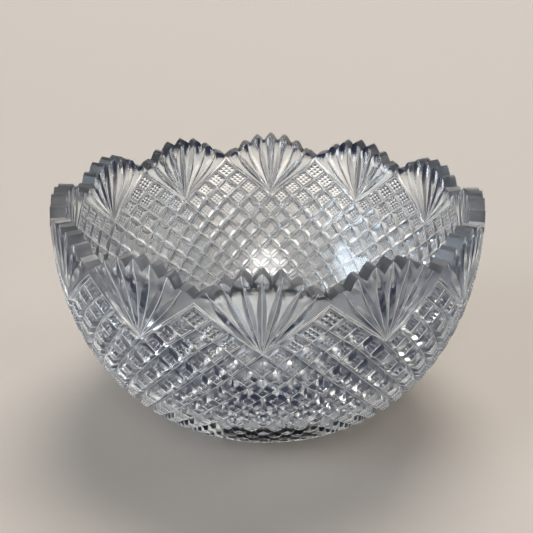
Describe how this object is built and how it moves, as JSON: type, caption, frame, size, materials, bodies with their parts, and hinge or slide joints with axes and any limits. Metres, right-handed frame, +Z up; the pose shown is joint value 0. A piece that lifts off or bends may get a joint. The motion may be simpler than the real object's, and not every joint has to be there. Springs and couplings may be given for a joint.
{
  "type": "cut glass punch bowl",
  "caption": "Deep round cut-glass punch bowl, open at the top, with a scalloped toothed rim, fans and a diamond lattice cut into its outside, on a flat foot ring.",
  "frame": {"origin": "middle of the flat foot ring, on the surface that the bowl stands on", "axes": "+Z up along the bowl's axis; +X through the middle of one scallop and its fan"},
  "size_m": [0.261, 0.261, 0.143],
  "materials": {
    "crystal": "clear polished lead crystal, cut outside, smooth inside"
  },
  "bodies": {
    "root": {"bowl": "crystal"}
  },
  "joints": []
}
